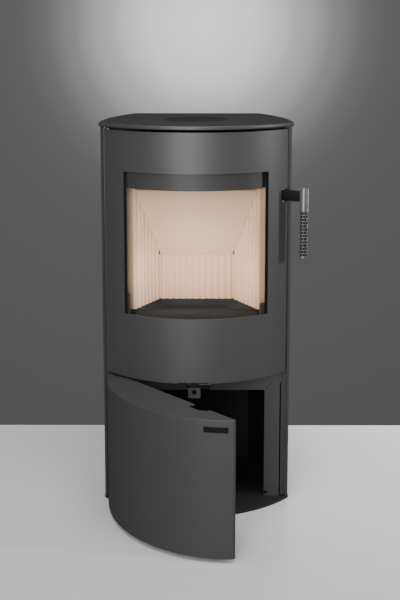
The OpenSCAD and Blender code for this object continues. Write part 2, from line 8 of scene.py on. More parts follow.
# %% Load the measured stove
import json
import math
import bmesh
import bpy
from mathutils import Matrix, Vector


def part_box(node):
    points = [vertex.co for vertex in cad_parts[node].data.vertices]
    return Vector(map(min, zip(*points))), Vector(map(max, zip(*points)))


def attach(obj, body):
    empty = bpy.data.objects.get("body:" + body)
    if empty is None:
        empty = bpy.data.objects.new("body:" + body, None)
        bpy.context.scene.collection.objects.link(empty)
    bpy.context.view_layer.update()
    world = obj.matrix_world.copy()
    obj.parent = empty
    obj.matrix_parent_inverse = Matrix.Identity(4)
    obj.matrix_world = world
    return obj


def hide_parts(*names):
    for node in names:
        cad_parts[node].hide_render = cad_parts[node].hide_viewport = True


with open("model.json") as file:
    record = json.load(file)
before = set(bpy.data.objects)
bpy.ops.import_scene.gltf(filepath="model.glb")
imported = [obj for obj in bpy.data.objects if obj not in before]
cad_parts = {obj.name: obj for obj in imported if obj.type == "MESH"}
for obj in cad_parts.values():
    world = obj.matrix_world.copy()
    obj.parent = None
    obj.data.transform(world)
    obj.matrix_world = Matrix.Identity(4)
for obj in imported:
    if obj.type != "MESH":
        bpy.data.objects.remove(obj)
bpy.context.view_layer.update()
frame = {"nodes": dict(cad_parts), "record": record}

# %% [markdown]
# ## Camera
# The stove is looked at from the front and a little above. A pitched camera
# makes upright edges lean, and a lens shift takes most of that lean away, so
# the camera is tipped only a few degrees and the lens is shifted for the rest.

# %% Camera
CAMERA_PLACE = (0.018, -2.514, 1.226)
CAMERA_PITCH = 8.3
CAMERA_YAW = 0.19
LENS_LENGTH = 60.3
LENS_SHIFT = -0.2
FILM_WIDTH = 36.0
camera_data = bpy.data.cameras.new("studio_camera")
camera_data.lens = LENS_LENGTH
camera_data.sensor_width = FILM_WIDTH
camera_data.shift_y = LENS_SHIFT
camera = bpy.data.objects.new("studio_camera", camera_data)
camera.location = CAMERA_PLACE
camera.rotation_euler = (math.radians(90 - CAMERA_PITCH), 0, math.radians(CAMERA_YAW))
bpy.context.collection.objects.link(camera)
bpy.context.scene.camera = camera
print("camera at:", CAMERA_PLACE, "tipped by:", CAMERA_PITCH)

# %% [markdown]
# ## Writing finishes as sums
# A finish is a tree of shader nodes. Joining them one by one hides what the
# tree works out, so a small class wraps a socket and lets sums be written with
# the usual signs. Every other node comes from one method, which the finishes
# and the studio behind the stove share.


# %% A socket that can be used in sums
class Wire:
    """An output socket of a node, for use in sums."""

    def __init__(self, nodes, socket):
        self.nodes = nodes
        self.socket = socket

    def maths(self, operation, first, second=0.0):
        return self.nodes.node("ShaderNodeMath", {"operation": operation}, {0: first, 1: second})

    def __add__(self, other):
        return self.maths("ADD", self, other)

    def __radd__(self, other):
        return self.maths("ADD", other, self)

    def __sub__(self, other):
        return self.maths("SUBTRACT", self, other)

    def __rsub__(self, other):
        return self.maths("SUBTRACT", other, self)

    def __mul__(self, other):
        return self.maths("MULTIPLY", self, other)

    def __rmul__(self, other):
        return self.maths("MULTIPLY", other, self)

    def sine(self):
        return self.maths("SINE", self)

    def root(self):
        return self.maths("SQRT", self)


# %% A tree of nodes
class Nodes:
    """The node tree of a material or a world, and its main shader."""

    def __init__(self, owner, shader):
        owner.use_nodes = True
        self.tree = owner.node_tree
        self.shader = self.tree.nodes[shader]

    def plug(self, value, socket):
        if isinstance(value, Wire):
            self.tree.links.new(value.socket, socket)
        else:
            socket.default_value = value

    def node(self, kind, settings=None, sockets=None, output=0):
        made = self.tree.nodes.new(kind)
        for name, value in (settings or {}).items():
            if name == "stops":
                while len(made.color_ramp.elements) < len(value):
                    made.color_ramp.elements.new(1.0)
                for element, (place, colour) in zip(made.color_ramp.elements, value):
                    element.position = place
                    element.color = colour
            else:
                setattr(made, name, value)
        for key, value in (sockets or {}).items():
            self.plug(value, made.inputs[key])
        return Wire(self, made.outputs[output])

    def ramp(self, value, stops):
        return self.node("ShaderNodeValToRGB", {"stops": stops}, {0: value})

    def feed(self, **inputs):
        for socket, value in inputs.items():
            self.plug(value, self.shader.inputs[socket.replace("_", " ")])


# %% A finish and its patterns
class Finish(Nodes):
    """A material, with the patterns that the stove's finishes are made of."""

    def __init__(self, name, **constants):
        self.material = bpy.data.materials.new(name)
        super().__init__(self.material, "Principled BSDF")
        self.feed(**constants)

    def place(self):
        return self.node("ShaderNodeTexCoord", output="Object")

    def axis(self, letter):
        return self.node("ShaderNodeSeparateXYZ", {}, {0: self.place()}, output=letter)

    def noise(self, scale, detail=2.0, stretch=(1, 1, 1)):
        spread = self.node("ShaderNodeMapping", {}, {"Vector": self.place(), "Scale": stretch})
        return self.node("ShaderNodeTexNoise", {}, {"Vector": spread, "Scale": scale, "Detail": detail})

    def cells(self, scale, output="Distance"):
        return self.node("ShaderNodeTexVoronoi", {}, {"Vector": self.place(), "Scale": scale}, output)

    def cell_shade(self, scale):
        """One shade for each cell, picked from the cell's own colour."""
        return self.node("ShaderNodeSeparateColor", {}, {0: self.cells(scale, "Color")})

    def blend(self, mask, first, second):
        sockets = {0: mask, 6: first, 7: second}
        return self.node("ShaderNodeMix", {"data_type": "RGBA"}, sockets, output=2)

    def bump(self, height, depth, strength=1.0):
        sockets = {"Height": height, "Distance": depth, "Strength": strength}
        return self.node("ShaderNodeBump", {}, sockets)


# %% Colours and the shelf of finishes
finishes = {}


def grey(value, warmth=0.0, green=0.0):
    """A near grey colour; warmth leans to brown, and green is how much green is held back."""
    return (value * (1 + warmth), value * (1 - green), value * (1 - warmth), 1.0)


def mask_ramp(low, high):
    return [(low, (0, 0, 0, 1)), (high, (1, 1, 1, 1))]


def keep(use, finish):
    """Files a finish under its use on the stove."""
    finishes[use] = finish
    print("finish:", use, "nodes:", len(finish.tree.nodes))


# %% [markdown]
# ## Stove paint
# Stoves are sprayed with a heat proof silicone paint. It dries to a satin skin
# with a very fine grain, so a light glides over it in a broad soft band. Three
# sizes of noise are used: a fine one for the grain, a middle one that changes
# the gloss a little, and a slow one that changes the shade. Parts that differ
# in tone or gloss each have their own values.

# %% Stove paint
PAINT_GRAIN = 2600
PAINT_CLOUD = 38
PAINT_DRIFT = 5
GREEN_HELD_BACK = 0.02
FINE_GRAIN = 0.00003
COARSE_GRAIN = 0.00005


def stove_paint(name, tone, rough, warmth=-0.015, grain=FINE_GRAIN, gloss=0.45):
    paint = Finish(name, Specular_IOR_Level=gloss)
    speckle = paint.noise(PAINT_GRAIN, 2)
    drift = paint.noise(PAINT_DRIFT, 3)
    cloud = paint.noise(PAINT_CLOUD, 4)
    dark = grey(tone * 0.93, warmth, GREEN_HELD_BACK)
    light = grey(tone * 1.07, warmth, GREEN_HELD_BACK)
    paint.feed(
        Base_Color=paint.blend(speckle * 0.5, paint.blend(drift, dark, light), grey(tone * 1.35, warmth)),
        Roughness=rough + (cloud - 0.5) * 0.05 + (speckle - 0.5) * 0.10,
        Normal=paint.bump(speckle, grain),
    )
    return paint


keep("body_paint", stove_paint("anthracite_satin_paint", tone=0.034, rough=0.44))
# The top plate's paint is darker than the body's, as painted shade on its upward faces.
keep("top_paint", stove_paint("top_plate_paint", 0.013, 0.62, 0.0, COARSE_GRAIN, gloss=0.22))
keep("black_steel", stove_paint("black_inner_paint", 0.008, 0.55, warmth=0.0, gloss=0.3))
keep("inner_air_paint", stove_paint("deflector_paint", 0.032, 0.52, warmth=0.0))
keep("arm_black", stove_paint("arm_black_paint", 0.004, 0.60, warmth=0.0, gloss=0.12))
keep("lever_paint", stove_paint("lever_paint", 0.085, 0.45, warmth=0.02, gloss=0.4))
keep("flange_paint", stove_paint("flange_paint", 0.033, 0.50, warmth=0.03, gloss=0.3))
keep("clip_bronze", stove_paint("heat_tinted_clip", 0.034, 0.48, warmth=0.22))

# %% [markdown]
# ## Cast iron
# The hearth, the grate and the cover on top are cast in sand, which leaves a
# pebbled skin. Voronoi cells of about a millimetre under a coarser noise give
# that skin, and a slow noise stains it lighter in patches.

# %% Cast iron
IRON_PEBBLES = 900
IRON_LUMPS = 260
IRON_STAINS = 14
IRON_DEPTH = 0.00025


def cast_iron(name, tone, warmth, rough):
    iron = Finish(name, Specular_IOR_Level=0.08)
    lumps = iron.noise(IRON_LUMPS, 4)
    stain = iron.ramp(iron.noise(IRON_STAINS, 5), mask_ramp(0.35, 0.75))
    base = iron.blend(stain, grey(tone, warmth), grey(tone * 1.5, warmth * 2))
    iron.feed(
        Base_Color=iron.blend(lumps * 0.4, base, grey(tone * 0.55, warmth)),
        Roughness=rough + (lumps - 0.5) * 0.2,
        Normal=iron.bump(iron.cells(IRON_PEBBLES) * 0.6 + lumps, IRON_DEPTH, 0.7),
    )
    return iron


keep("hearth_iron", cast_iron("hearth_cast_iron", tone=0.029, warmth=-0.10, rough=0.85))
keep("cover_iron", cast_iron("cover_cast_iron", tone=0.013, warmth=0.07, rough=0.70))

# %% [markdown]
# ## Firebox lining
# The lining is vermiculite pressed into boards: pale, warm, chalky flakes of
# mica with a few darker grains. Voronoi cells of two sizes make the flakes and
# the pits between them, and a slow noise tints one board more than another.

# %% Firebox lining
FLAKES = 420
PITS = 650
DARK_GRAINS = 700
BOARD_WAVES = 220
BOARD_DRIFT = 6
BOARD_DEPTH = 0.00035


def pressed_board(name, light, dark):
    board = Finish(name, Specular_IOR_Level=0.2)
    flake = board.cell_shade(FLAKES)
    dark_grain = board.ramp(board.noise(DARK_GRAINS, 2), mask_ramp(0.62, 0.78))
    base = board.blend(board.noise(BOARD_DRIFT, 3), light, dark)
    flaked = board.blend(flake * 0.22, base, grey(0.62, 0.14))
    board.feed(
        Base_Color=board.blend(dark_grain * 0.45, flaked, grey(0.30, 0.22)),
        Roughness=0.82 + (flake - 0.5) * 0.16,
        Normal=board.bump(board.cells(PITS) + board.noise(BOARD_WAVES, 3) * 1.5, BOARD_DEPTH, 0.6),
    )
    return board


keep("lining_board", pressed_board("pressed_lining", (0.88, 0.585, 0.385, 1), (0.82, 0.53, 0.345, 1)))
keep("baffle_board", pressed_board("pressed_baffle", (0.80, 0.53, 0.34, 1), (0.74, 0.475, 0.30, 1)))

# %% [markdown]
# ## Bright metals
# Hidden sheet parts are galvanised: zinc freezes on the steel in large leafy
# crystals, each of its own grey. Pins and screws are plated, which looks finer
# and smoother. Voronoi cells of eight millimetres make the leaves, and cells of
# one millimetre the plating.

# %% Bright metals
SHEET_WAVES = 30
SHEET_SCRATCHES = 500
SHEET_DEPTH = 0.00004


def galvanised(name, tone, rough, leaves):
    sheet = Finish(name, Metallic=0.9)
    shade = sheet.cell_shade(leaves)
    sheet.feed(
        Base_Color=sheet.blend(shade, grey(tone * 0.8, -0.02), grey(tone * 1.15, -0.02)),
        Roughness=rough + (shade - 0.5) * 0.14 + (sheet.noise(SHEET_WAVES, 3) - 0.5) * 0.1,
        Normal=sheet.bump(sheet.noise(SHEET_SCRATCHES, 3), SHEET_DEPTH),
    )
    return sheet


keep("galvanised", galvanised("galvanised_sheet", tone=0.42, rough=0.42, leaves=120.0))
keep("zinc", galvanised("plated_steel", tone=0.50, rough=0.30, leaves=900.0))

# %% [markdown]
# ## Handle
# The handle stays cool to the hand, so it is a separate black rod. The plain
# part is turned and blackened: it has fine rings round it and a sharp upright
# gleam. The rings are a noise squeezed flat along the rod's length.

# %% Turned part of the handle
RING_STRETCH = (0.2, 0.2, 60)


def blackened_rod(name, tone, rough):
    rod = Finish(name, Metallic=0.55, Specular_IOR_Level=0.6)
    rings = rod.noise(60, 3, RING_STRETCH)
    worn = rod.noise(45, 3)
    rod.feed(
        Base_Color=rod.blend(worn, grey(tone * 0.85), grey(tone * 1.25)),
        Roughness=rough + (rings - 0.5) * 0.12 + (worn - 0.5) * 0.06,
        Normal=rod.bump(rings, 0.00002),
    )
    return rod


keep("handle_steel", blackened_rod("blackened_handle", tone=0.14, rough=0.33))

# %% [markdown]
# The knurled part is painted black in its pockets as painted shade, and lighter
# on its ridges, so its colour follows the distance from the rod's own axis.

# %% Knurled part of the handle
KNURL_AXIS = (0.271, -0.020)
POCKET_REACH = 0.0088
RIDGE_REACH = 0.0106
knurl = Finish("knurled_handle", Metallic=0.4, Specular_IOR_Level=0.5)
across = knurl.axis("X") - KNURL_AXIS[0]
along = knurl.axis("Y") - KNURL_AXIS[1]
reach = (across * across + along * along).root()
pocket_shade_limits = {"Value": reach, "From Min": POCKET_REACH, "From Max": RIDGE_REACH}
knurl.feed(
    # Painted shade: black in the pockets, lighter on the ridges, by distance from the rod's axis.
    Base_Color=knurl.blend(knurl.node("ShaderNodeMapRange", {}, pocket_shade_limits), grey(0.004), grey(0.10)),
    Roughness=0.36 + (knurl.noise(60, 3) - 0.5) * 0.1,
)
keep("knurled_grip", knurl)

# %% [markdown]
# ## Glass and its seals
# The window is clear ceramic glass with a faint warm cast. A full refraction
# would keep the lamps out of the firebox, so the pane is mostly see-through,
# and only turns more solid where it is seen at a shallow angle. It is a little
# rough, so that no lamp shows in it with a hard outline.
# The seals are knitted glass fibre: diagonal ribs both ways read as knitting.

# %% Glass
CLEAR = 0.025
glass = Finish("ceramic_glass", Roughness=0.12, IOR=1.5, Specular_IOR_Level=0.2)
edge_on = glass.node("ShaderNodeFresnel", {}, {"IOR": 1.35})
smoke = glass.noise(9, 3)
glass.feed(Base_Color=grey(0.05, 0.2), Alpha=CLEAR + edge_on * 0.45 + smoke * 0.02)
keep("door_glass", glass)


# %% Seals
def knitted_seal(name, tone, pitch):
    seal = Finish(name, Sheen_Weight=0.3, Specular_IOR_Level=0.15)
    x = seal.axis("X")
    z = seal.axis("Z")
    turn = 2 * math.pi / pitch
    ribs = ((x + z) * turn).sine() * 0.5 + 0.5
    cross = ((x - z) * turn).sine() * 0.5 + 0.5
    knit = ribs * cross
    seal.feed(
        Base_Color=seal.blend(knit, grey(tone * 0.6, 0.03), grey(tone * 1.3, 0.03)),
        Roughness=0.8 + (seal.noise(400, 3) - 0.5) * 0.2,
        Normal=seal.bump(knit + seal.noise(900, 2) * 0.3, 0.0006, 0.8),
    )
    return seal


keep("rope_seal", knitted_seal("knitted_rope", tone=0.16, pitch=0.0052))
keep("glass_tape", knitted_seal("woven_tape", tone=0.03, pitch=0.0028))

# %% [markdown]
# ## Dressing the measured parts
# Each measured part names the finish of its kind. The record keeps that name,
# so one loop gives every part its surface. A few parts look different from the
# others of their kind, and finish_of changes those.

# %% Dress the measured parts
parts = frame["nodes"]
slot_of = {row["node"]: row["material_slot"] for row in frame["record"]["subparts"]}
bodies = frame["record"]["behaviour"]["bodies"]
body_of = {node: body for body, nodes in bodies.items() for node in nodes}
finish_of = dict(
    slot_of,
    air_deflector="inner_air_paint",
    hearth_lip="hearth_iron",
    handle_arm="arm_black",
    lower_door_top_flange="flange_paint",
)


def dress(thing, finish):
    thing.data.materials.clear()
    thing.data.materials.append(finishes[finish].material)


for node, part in parts.items():
    dress(part, finish_of[node])
print("dressed:", len(parts), "with", len(set(finish_of.values())), "finishes")

# %% [markdown]
# ## Working as by hand
# An operator acts on everything that is selected. These helpers leave just one
# thing selected, pick faces by where they are or where they look, and give a
# finished piece its finish, its body and the measured part it stands for.


# %% Select, edit and pick
def only(thing):
    bpy.ops.object.select_all(action="DESELECT")
    thing.select_set(True)
    bpy.context.view_layer.objects.active = thing


def added(primitive, **settings):
    """Adds a primitive while nothing else is selected."""
    bpy.ops.object.select_all(action="DESELECT")
    primitive(**settings)
    return bpy.context.object


def edit(thing, mode="FACE"):
    only(thing)
    bpy.ops.object.mode_set(mode="EDIT")
    bpy.ops.mesh.select_mode(type=mode)
    bpy.ops.mesh.select_all(action="DESELECT")


def pick(thing, kind, test):
    mesh = bmesh.from_edit_mesh(thing.data)
    for item in getattr(mesh, kind):
        item.select = test(item)
    mesh.select_flush_mode()
    bmesh.update_edit_mesh(thing.data)
    return sum(1 for item in getattr(mesh, kind) if item.select)


def leave():
    bpy.ops.object.mode_set(mode="OBJECT")


# %% Change, copy and join
def modify(thing, kind, **settings):
    only(thing)
    modifier = thing.modifiers.new(kind.lower(), kind)
    for name, value in settings.items():
        setattr(modifier, name, value)
    bpy.ops.object.modifier_apply(modifier=modifier.name)


def bevelled(thing, width, segments, angle=30):
    """Rounds the edges where two faces meet at more than an angle."""
    limit = math.radians(angle)
    modify(thing, "BEVEL", width=width, segments=segments, limit_method="ANGLE", angle_limit=limit)


def cut(thing, tool):
    modify(thing, "BOOLEAN", operation="DIFFERENCE", object=tool, solver="EXACT")
    bpy.data.objects.remove(tool)


def settle(thing):
    only(thing)
    bpy.ops.object.transform_apply(location=True, rotation=True, scale=True)


def copy_of(thing, shift=(0, 0, 0)):
    twin = thing.copy()
    twin.data = thing.data.copy()
    bpy.context.collection.objects.link(twin)
    twin.location = Vector(thing.location) + Vector(shift)
    return twin


def joined(things):
    for thing in things:
        settle(thing)
    bpy.ops.object.select_all(action="DESELECT")
    for thing in things:
        thing.select_set(True)
    bpy.context.view_layer.objects.active = things[0]
    bpy.ops.object.join()
    return things[0]


# %% Hand a piece over
def finished(thing, name, finish, body, stands_for=(), smooth=35):
    settle(thing)
    thing.name = name
    thing.data.name = name
    bpy.ops.object.shade_smooth_by_angle(angle=math.radians(smooth))
    dress(thing, finish)
    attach(thing, body)
    if stands_for:
        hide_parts(*stands_for)
    print(name, "faces:", len(thing.data.polygons))
    return thing


# %% [markdown]
# ## Rolled sheet
# The doors and the casing's sides are sheet steel rolled to a curve. The mesh
# has narrow flat faces there, and averaged shading kinks the gleam wherever
# faces of different width meet, such as beside the window. So each face whose
# corners all lie on a known circle is shaded as that circle, and wide flat
# faces are shaded as flat. The lower door stands open, so the centre of its
# curve is the front's centre, swung about its hinge.

# %% Curves that the sheets are rolled to
DOOR_RADII = (0.318, 0.3155, 0.315, 0.313, 0.309, 0.306, 0.3045, 0.302, 0.3192, 0.3195)
SIDE_RADII = (0.595, 0.592, 0.5965)
FRONT_CENTRE = Vector((0, 0.227))
SIDE_CENTRES = (Vector((0.352, 0.025)), Vector((-0.352, 0.025)))
joints = {joint["name"]: joint for joint in frame["record"]["behaviour"]["joints"]}
swing = joints["lower_door_swing"]
hinge = Vector(swing["pos_m"][:2])
opened = math.radians(swing["range_deg"][1])
spoke = FRONT_CENTRE - hinge
low_centre = hinge + Vector(
    (
        spoke.x * math.cos(opened) + spoke.y * math.sin(opened),
        spoke.y * math.cos(opened) - spoke.x * math.sin(opened),
    )
)
front_curves = [(FRONT_CENTRE, DOOR_RADII)] + [(c, SIDE_RADII) for c in SIDE_CENTRES]
low_curves = [(low_centre, DOOR_RADII)]
print("centre of the open door's curve:", [round(v, 4) for v in low_centre])

# %% Shade rolled sheet as its curve
UPRIGHT_TILT = 0.2
CURVE_SLACK = 0.00012
FACING_CURVE = 0.97
FLAT_AREA = 0.0015


def curve_of(points, normal, curves):
    """The centre of the circle that all of a face's corners lie on, if there is one."""
    if abs(normal.z) > UPRIGHT_TILT:
        return None
    for centre, radii in curves:
        reach = [(p.xy - centre).length for p in points]
        outward = (points[0].xy - centre).normalized()
        for radius in radii:
            on_circle = all(abs(r - radius) < CURVE_SLACK for r in reach)
            if on_circle and abs(outward.dot(normal.xy)) > FACING_CURVE:
                return centre
    return None


def round_normals(thing, curves):
    data = thing.data
    normals = [Vector(n.vector) for n in data.corner_normals]
    rolled = 0
    for face in data.polygons:
        points = [data.vertices[i].co for i in face.vertices]
        centre = curve_of(points, face.normal, curves)
        if centre is None:
            if face.area > FLAT_AREA:
                for corner in face.loop_indices:
                    normals[corner] = face.normal.copy()
            continue
        rolled += 1
        for corner, point in zip(face.loop_indices, points):
            out = (point.xy - centre).normalized()
            if out.dot(face.normal.xy) < 0:
                out = -out
            normals[corner] = Vector((out.x, out.y, 0))
    data.normals_split_custom_set(normals)
    print(thing.name, "rolled faces:", rolled)


# %% [markdown]
# ## Broken edges
# Cut and folded sheet has no razor edges: they are brushed off before painting,
# and that thin rounding catches a line of light. A copy of each seen part is
# welded, cleared of needless edges, and gets a narrow bevel wherever two faces
# meet at more than forty degrees. Boards and plates get a wider one than sheet.

# %% Broken edges
EDGE_BREAK = {
    "fire_door_skin": 0.0007,
    "lower_door_skin": 0.0006,
    "lower_door_top_flange": 0.0005,
    "lower_door_bottom_flange": 0.0005,
    "left_side_panel": 0.0006,
    "right_side_panel": 0.0006,
    "base_plate": 0.0008,
    "top_plate": 0.0008,
    "store_front_frame": 0.0005,
    "firebox_front_frame": 0.0005,
    "air_deflector": 0.0005,
    "glass_retainer": 0.0005,
    "fire_door_frame": 0.0005,
    "glass_clips": 0.0008,
    "handle_arm": 0.0009,
    "hearth_lip": 0.0008,
    "lower_baffle": 0.0016,
    "magnet_catch": 0.0005,
    "latch_keepers": 0.0004,
    "hinge_brackets": 0.0004,
}
WELD = 0.00001
NEEDLESS_ANGLE = 0.4
BREAK_ANGLE = 40


def break_edges(node, width):
    twin = copy_of(parts[node])
    edit(twin)
    bpy.ops.mesh.select_all(action="SELECT")
    bpy.ops.mesh.remove_doubles(threshold=WELD)
    bpy.ops.mesh.dissolve_limited(angle_limit=math.radians(NEEDLESS_ANGLE))
    leave()
    bevelled(twin, width, 2, BREAK_ANGLE)
    finished(twin, node + "_edged", finish_of[node], body_of[node], (node,))
    round_normals(twin, low_curves if body_of[node] == "lower_door" else front_curves)


for node, width in EDGE_BREAK.items():
    break_edges(node, width)

# %% [markdown]
# ## Rim of the top plate
# The flat of the top plate is painted darker and duller than the body, as painted
# shade on the faces that look up, while its rounded rim has the body's satin paint
# and takes the same upright gleam as the door. Faces that look sideways get that second finish.

# %% Rim of the top plate
RIM_TILT = 0.75
top = bpy.data.objects["top_plate_edged"]
top.data.materials.append(finishes["body_paint"].material)
rim = [face for face in top.data.polygons if face.normal.z < RIM_TILT]
for face in rim:
    face.material_index = 1
print("rim faces:", len(rim))

# %% [markdown]
# ## Knurled grip
# The grip is a sleeve with staggered pockets pressed into it. One ring of 16
# sides is pulled up in rows, every second upright edge is taken away so the
# pockets of one row sit over the ribs of the next, and each pocket is inset and
# pushed in. The sleeve's ends are closed on to the rod's core.

# %% Sleeve of the grip, in rows
GRIP_SIDES = 16
GRIP_ROWS = 14
COLLAR = 0.0035
grip_low, grip_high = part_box("handle_grip")
rod_centre = (grip_low + grip_high) / 2
grip_radius = (grip_high.x - grip_low.x) / 2
row_height = (grip_high.z - grip_low.z - 2 * COLLAR) / GRIP_ROWS
grip = added(
    bpy.ops.mesh.primitive_circle_add,
    vertices=GRIP_SIDES,
    radius=grip_radius,
    location=(rod_centre.x, rod_centre.y, grip_low.z),
)
edit(grip, "EDGE")
bpy.ops.mesh.select_all(action="SELECT")
for rise in [COLLAR] + [row_height] * GRIP_ROWS + [COLLAR]:
    bpy.ops.mesh.extrude_region_move(TRANSFORM_OT_translate={"value": (0, 0, rise)})
print("rows:", GRIP_ROWS, "of height:", round(row_height, 5))

# %% Pockets of the grip
POCKET_CORNERS = 6
POCKET_RIM = 0.0008
POCKET_SLOPE = 0.0007
POCKET_DEPTH = 0.0018


def upright_to_drop(edge):
    ends = [v.co for v in edge.verts]
    if abs(ends[0].z - ends[1].z) < WELD:
        return False
    middle = (ends[0].z + ends[1].z) / 2 - COLLAR
    row = math.floor(middle / row_height)
    if not 0 <= row < GRIP_ROWS:
        return False
    turn = round(math.atan2(ends[0].y, ends[0].x) / (2 * math.pi / GRIP_SIDES))
    return (turn + row) % 2 == 0


pick(grip, "edges", upright_to_drop)
bpy.ops.mesh.dissolve_edges(use_verts=False)
bpy.ops.mesh.select_mode(type="FACE")
pockets = pick(grip, "faces", lambda f: len(f.verts) == POCKET_CORNERS)
bpy.ops.mesh.inset(thickness=POCKET_RIM, depth=0.0, use_individual=True)
bpy.ops.mesh.inset(thickness=POCKET_SLOPE, depth=-POCKET_DEPTH, use_individual=True)
print("pockets:", pockets)

# %% Ends of the grip
CORE_RADIUS = 0.0072
core = CORE_RADIUS / grip_radius
bpy.ops.mesh.select_mode(type="EDGE")
pick(grip, "edges", lambda e: e.is_boundary)
bpy.ops.mesh.extrude_region_move()
bpy.ops.transform.resize(value=(core, core, 1), center_override=rod_centre)
pick(grip, "edges", lambda e: e.is_boundary)
bpy.ops.mesh.bridge_edge_loops()
bpy.ops.mesh.select_all(action="SELECT")
bpy.ops.mesh.normals_make_consistent(inside=False)
leave()
bevelled(grip, 0.00025, 1, 50)
finished(grip, "grip_knurled", "knurled_grip", "latch", ("handle_grip",), 20)

# %% [markdown]
# ## Rope seal
# A soft glass fibre rope lies in the door's frame and is squeezed flat when the
# door shuts. A plane of the right size has its corners rounded, its outline
# becomes a curve, the curve is given a round section, and the ring that comes
# out is pressed flat front to back.

# %% Rope seal
ROPE_RADIUS = 0.005
ROPE_CORNER = 0.014
rope_low, rope_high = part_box("door_gasket")
rope_size = rope_high - rope_low
rope_centre = (rope_low + rope_high) / 2
upright = (math.radians(90), 0, 0)
rope = added(bpy.ops.mesh.primitive_plane_add, size=1, location=rope_centre, rotation=upright)
rope.scale = (rope_size.x - 2 * ROPE_RADIUS, rope_size.z - 2 * ROPE_RADIUS, 1)
settle(rope)
edit(rope, "VERT")
bpy.ops.mesh.select_all(action="SELECT")
bpy.ops.mesh.bevel(offset=ROPE_CORNER, segments=8, affect="VERTICES")
bpy.ops.mesh.delete(type="ONLY_FACE")
leave()
only(rope)
bpy.ops.object.convert(target="CURVE")
rope.data.bevel_depth = ROPE_RADIUS
rope.data.bevel_resolution = 5
bpy.ops.object.convert(target="MESH")
edit(rope, "VERT")
bpy.ops.mesh.select_all(action="SELECT")
bpy.ops.mesh.remove_doubles(threshold=WELD)
bpy.ops.mesh.normals_make_consistent(inside=False)
flatness = rope_size.y / (2 * ROPE_RADIUS)
bpy.ops.transform.resize(value=(1, flatness, 1), center_override=rope_centre)
leave()
finished(rope, "rope_seal_knitted", "rope_seal", "fire_door", ("door_gasket",), 60)

# %% [markdown]
# ## Air lever
# The lever is a tab that hangs from the slide on a flat neck. The tab runs down,
# curls forward into a lip for a fingertip, and has a round hollow in its face.
# A narrow face is drawn out along that route, thickened, and all of its edges
# are rounded before the hollow is cut.

# %% Curled tab of the air lever
SHEET = 0.003
TAB_DROP = 0.004
lever_low, lever_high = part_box("air_lever")
lever_x = (lever_low.x + lever_high.x) / 2
tab_top = lever_high.z - TAB_DROP
curl = [
    (SHEET / 2, lever_low.z + 0.0035),
    (-0.0045, lever_low.z + 0.0022),
    (lever_low.y + 0.0022, lever_low.z + 0.0035),
    (lever_low.y + SHEET / 2, lever_low.z + 0.0070),
]
tab_foot = curl[0][1]
middle = (lever_x, SHEET / 2, (tab_top + tab_foot) / 2)
tab = added(bpy.ops.mesh.primitive_plane_add, size=1, location=middle)
tab.rotation_euler = upright
tab.scale = (lever_high.x - lever_low.x, tab_top - tab_foot, 1)
settle(tab)
edit(tab, "EDGE")
pick(tab, "edges", lambda e: all(v.co.z < tab_foot + WELD for v in e.verts))
for (from_y, from_z), (to_y, to_z) in zip(curl, curl[1:]):
    step = (0, to_y - from_y, to_z - from_z)
    bpy.ops.mesh.extrude_region_move(TRANSFORM_OT_translate={"value": step})
leave()
modify(tab, "SOLIDIFY", thickness=SHEET * 0.9, offset=0)
bevelled(tab, 0.0010, 3)
print("tab width:", round(lever_high.x - lever_low.x, 4))

# %% Neck and hollow of the air lever
NECK_WIDTH = 0.020
NECK_DROP = 0.0055
HOLLOW_RADIUS = 0.006
HOLLOW_RISE = 0.0155
neck_middle = (lever_x, (SHEET + lever_high.y) / 2, lever_high.z - NECK_DROP)
neck = added(bpy.ops.mesh.primitive_cube_add, size=1, location=neck_middle)
neck.scale = (NECK_WIDTH, lever_high.y - SHEET / 2, SHEET)
settle(neck)
bevelled(neck, 0.0006, 2)
hollow = added(bpy.ops.mesh.primitive_cylinder_add, vertices=32, radius=HOLLOW_RADIUS, depth=0.02)
hollow.rotation_euler = upright
hollow.location = (lever_x, 0, lever_low.z + HOLLOW_RISE)
settle(hollow)
modify(hollow, "BEVEL", width=0.0005, segments=1)
cut(tab, hollow)
lever = joined([tab, neck])
finished(lever, "air_lever_folded", "lever_paint", "air_control", ("air_lever",), 40)

# %% [markdown]
# ## Screws and bolts
# The back panel is held by low round headed screws with a cross recess, and
# the firebox frame by hexagon bolts on washers. One of each is made with care
# and then copied, each copy with its own mesh, to where the measured ones are.


# %% One screw and one bolt
def turned_head(sides, radius, height, rim, steps):
    head = added(bpy.ops.mesh.primitive_cylinder_add, vertices=sides, radius=radius, depth=height)
    edit(head)
    pick(head, "faces", lambda f: f.normal.z > 0.9)
    bpy.ops.mesh.bevel(offset=rim, segments=steps)
    leave()
    return head


def cross_screw(radius, height):
    head = turned_head(24, radius, height, rim=height * 0.55, steps=3)
    for turn in (0, 90):
        blade = added(bpy.ops.mesh.primitive_cube_add, size=1, location=(0, 0, height / 2))
        blade.scale = (radius * 1.15, radius * 0.24, height)
        blade.rotation_euler = (0, 0, math.radians(turn))
        settle(blade)
        cut(head, blade)
    return head


def hex_bolt(radius, height):
    head = turned_head(6, radius * 0.86, height, rim=height * 0.12, steps=1)
    washer = turned_head(28, radius, height * 0.3, rim=height * 0.08, steps=1)
    washer.location = (0, 0, -height * 0.35)
    return joined([head, washer])


def scattered(original, direction, places):
    """Turns one fastener to face a way, and puts a copy of it at each place."""
    original.rotation_euler = Vector(direction).to_track_quat("Z", "Y").to_euler()
    settle(original)
    copies = [copy_of(original, place) for place in places]
    bpy.data.objects.remove(original)
    print("copies:", len(copies))
    return joined(copies)


